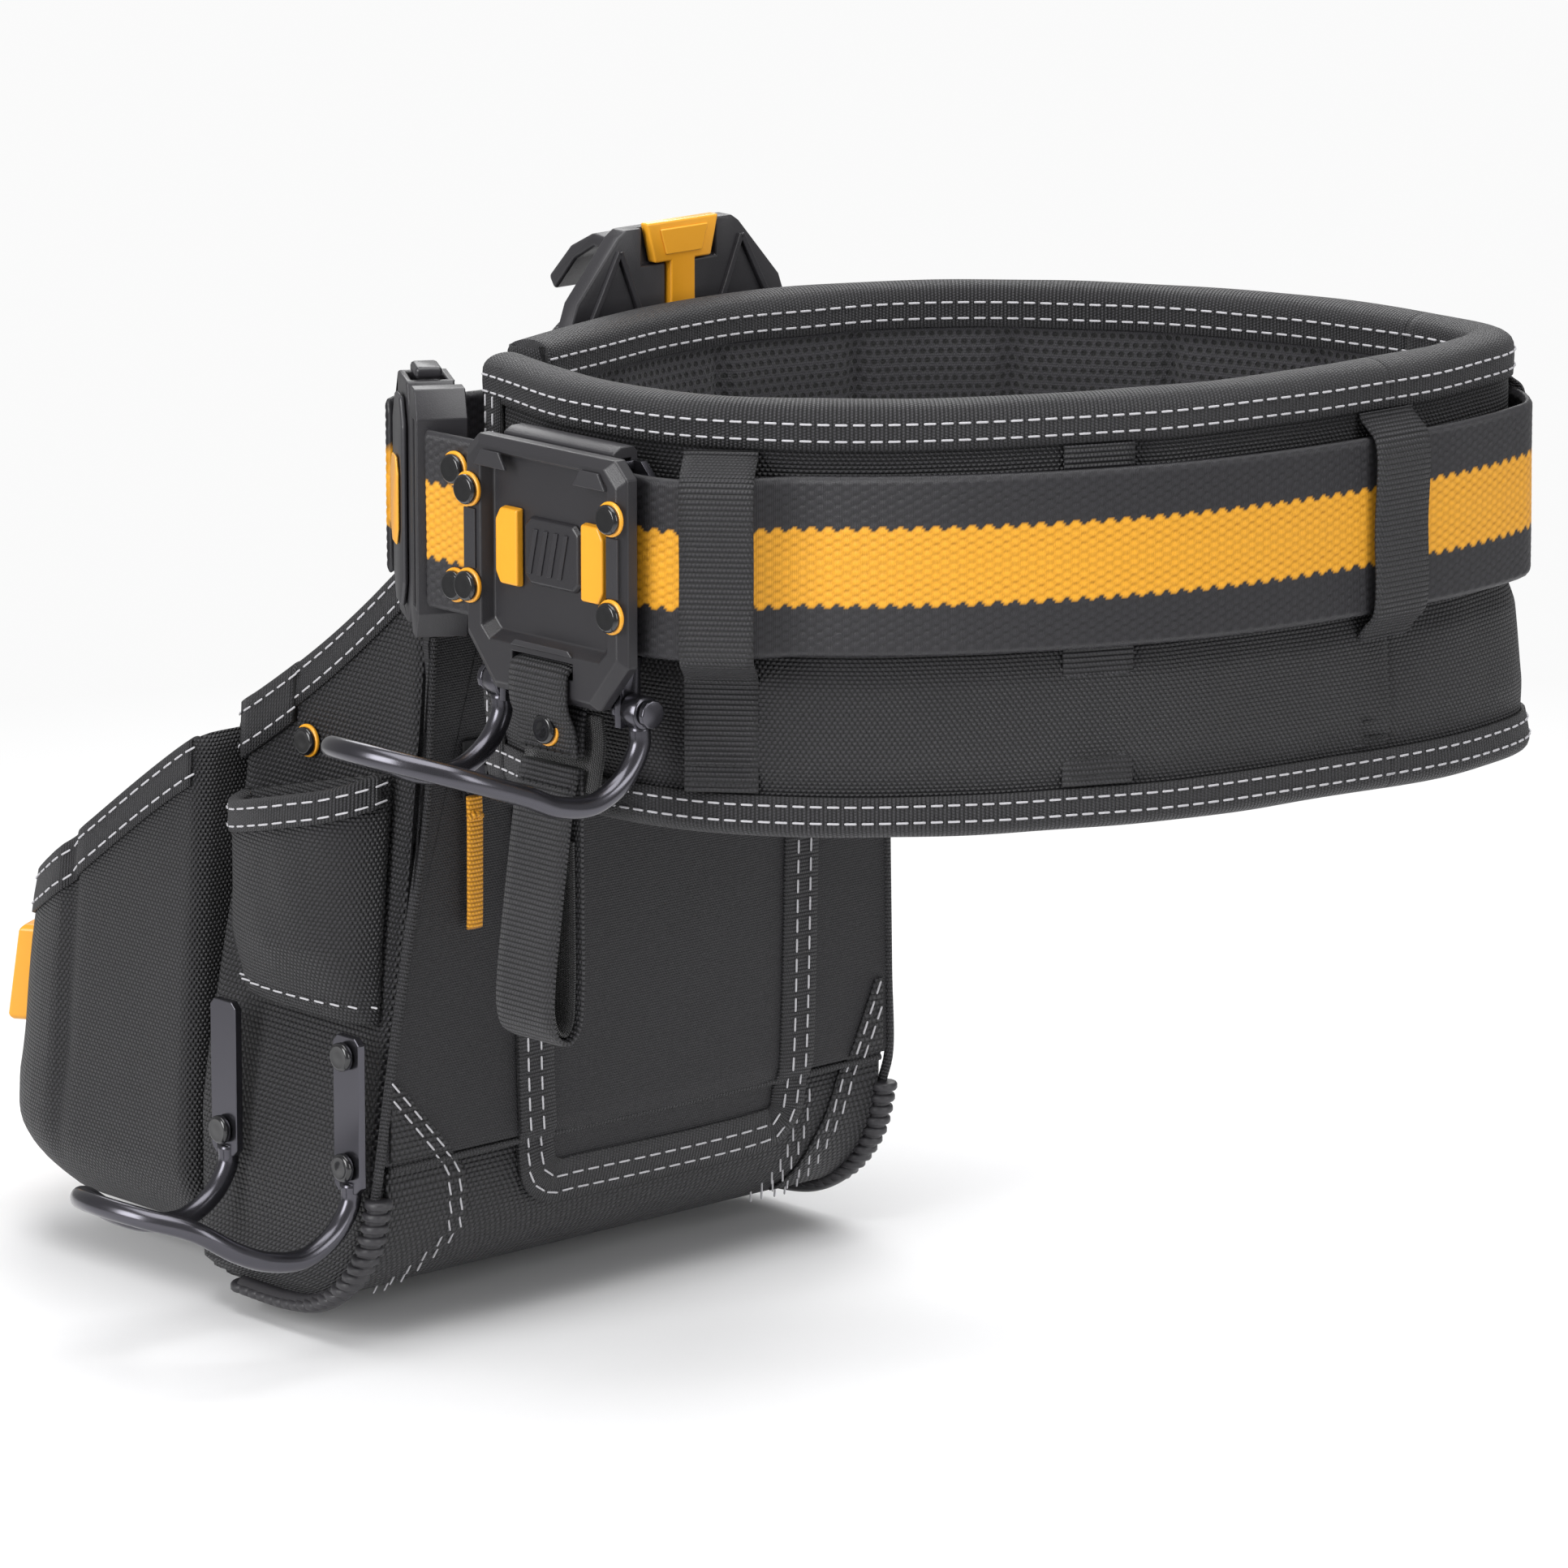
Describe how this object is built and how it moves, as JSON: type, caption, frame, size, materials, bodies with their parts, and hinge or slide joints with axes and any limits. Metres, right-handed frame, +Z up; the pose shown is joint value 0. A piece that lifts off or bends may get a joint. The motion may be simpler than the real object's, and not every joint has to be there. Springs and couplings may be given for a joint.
{
  "type": "tool belt",
  "caption": "Padded work belt with a quick-release buckle, a riveted swinging hammer ring with a tape strap, and a clip-on pouch with pockets, knife sleeve and its own ring.",
  "frame": {"origin": "centre of the waist loop at the webbing's mid-height", "axes": "+Z up, +X the wearer's left, -Y the wearer's front, where the buckle is"},
  "size_m": [0.4314, 0.4285, 0.33],
  "materials": {
    "nylon": "coarse plain-woven ballistic nylon",
    "foam": "closed foam, hidden",
    "air_mesh": "spacer mesh with small round holes",
    "binding_tape": "ribbed polyester tape with white stitching",
    "webbing": "heavy woven webbing with a yellow centre stripe",
    "strap_webbing": "ribbed nylon webbing",
    "zip_tape": "woven zip tape with coil teeth",
    "yellow_cord": "braided yellow cord",
    "black_plastic": "satin moulded nylon",
    "yellow_plastic": "satin yellow moulded plastic",
    "black_steel": "satin black plated steel",
    "rubber": "ribbed moulded rubber"
  },
  "bodies": {
    "belt_right": {"binding_bottom_right": "binding_tape", "binding_top_right": "binding_tape", "pad_foam_right": "foam", "pad_lining_right": "air_mesh", "pad_shell_right": "nylon", "webbing_right": "webbing", "keeper_rear": "binding_tape", "keeper_right_side": "binding_tape", "belt_hub": "black_plastic", "buckle_socket": "black_plastic", "buckle_cover": "black_plastic", "buckle_badge": "yellow_plastic", "webbing_tail": "webbing"},
    "belt_left": {"binding_bottom_left": "binding_tape", "binding_top_left": "binding_tape", "pad_foam_left": "foam", "pad_lining_left": "air_mesh", "pad_shell_left": "nylon", "webbing_left": "webbing", "keeper_left_front": "binding_tape", "keeper_left_side": "binding_tape", "keeper_left_rear": "binding_tape", "buckle_prongs": "black_plastic", "webbing_rivet_upper": "black_steel", "webbing_rivet_lower": "black_steel", "holder_badge": "black_plastic", "holder_bracket": "black_steel", "holder_insert_left": "yellow_plastic", "holder_insert_right": "yellow_plastic", "holder_plate": "black_plastic", "holder_rivet_left_lower": "black_steel", "holder_rivet_left_upper": "black_steel", "holder_rivet_right_lower": "black_steel", "holder_rivet_right_upper": "black_steel", "ring_pin_left": "black_steel", "ring_pin_right": "black_steel", "strap_fold": "strap_webbing", "strap_rivet": "black_steel"},
    "hammer_ring": {"hammer_ring": "black_steel"},
    "strap_end": {"strap_loop": "strap_webbing"},
    "button_top": {"buckle_button_top": "black_plastic"},
    "button_bottom": {"buckle_button_bottom": "black_plastic"},
    "pouch": {"pouch_clip": "black_plastic", "clip_hood": "black_plastic", "pouch_panel": "nylon", "pouch_body": "nylon", "front_pocket": "nylon", "front_badge": "yellow_plastic", "knife_sleeve": "nylon", "pouch_ring": "black_steel", "pouch_ring_rivet_rear_upper": "black_steel", "pouch_ring_rivet_rear_lower": "black_steel", "pouch_ring_rivet_front_lower": "black_steel", "edge_guard_left": "rubber", "edge_guard_right": "rubber", "back_pocket": "nylon", "zip_tape": "zip_tape"},
    "latch": {"clip_latch": "yellow_plastic"},
    "zip_slider": {"zip_slider": "black_steel"},
    "zip_pull": {"zip_pull": "yellow_cord"}
  },
  "joints": [
    {"name": "belt_open", "type": "hinge", "parent": "belt_right", "child": "belt_left", "pos_m": [0.015, 0.165, 0], "axis": [0, 0, 1], "range_deg": [0, 35]},
    {"name": "ring_lift", "type": "hinge", "parent": "belt_left", "child": "hammer_ring", "pos_m": [0.05685, -0.12633, -0.042], "axis": [-0.832, -0.5548, 0], "range_deg": [0, 80]},
    {"name": "strap_swing", "type": "hinge", "parent": "belt_left", "child": "strap_end", "pos_m": [0.06052, -0.13182, -0.0582], "axis": [-0.832, -0.5548, 0], "range_deg": [0, 45]},
    {"name": "button_top_press", "type": "slide", "parent": "belt_right", "child": "button_top", "axis": [0, 0, -1], "range_m": [0, 0.002], "stiffness_N_per_m": 300, "springref_m": -0.001},
    {"name": "button_bottom_press", "type": "slide", "parent": "belt_right", "child": "button_bottom", "axis": [0, 0, 1], "range_m": [0, 0.002], "stiffness_N_per_m": 300, "springref_m": -0.001},
    {"name": "pouch_lift", "type": "slide", "parent": "belt_right", "child": "pouch", "axis": [0, 0, 1], "range_m": [0, 0.055]},
    {"name": "latch_press", "type": "hinge", "parent": "pouch", "child": "latch", "pos_m": [-0.09566, -0.07044, 0.0372], "axis": [-0.5299, 0.848, 0], "range_deg": [0, 6], "stiffness_Nm_per_rad": 0.2, "springref_deg": -2.86},
    {"name": "zip_run", "type": "slide", "parent": "pouch", "child": "zip_slider", "axis": [-0.5299, 0.848, 0], "range_m": [0, 0.135]},
    {"name": "zip_pull_swing", "type": "hinge", "parent": "zip_slider", "child": "zip_pull", "pos_m": [-0.05559, -0.13797, -0.0962], "axis": [0.5299, -0.848, 0], "range_deg": [0, 20]}
  ]
}
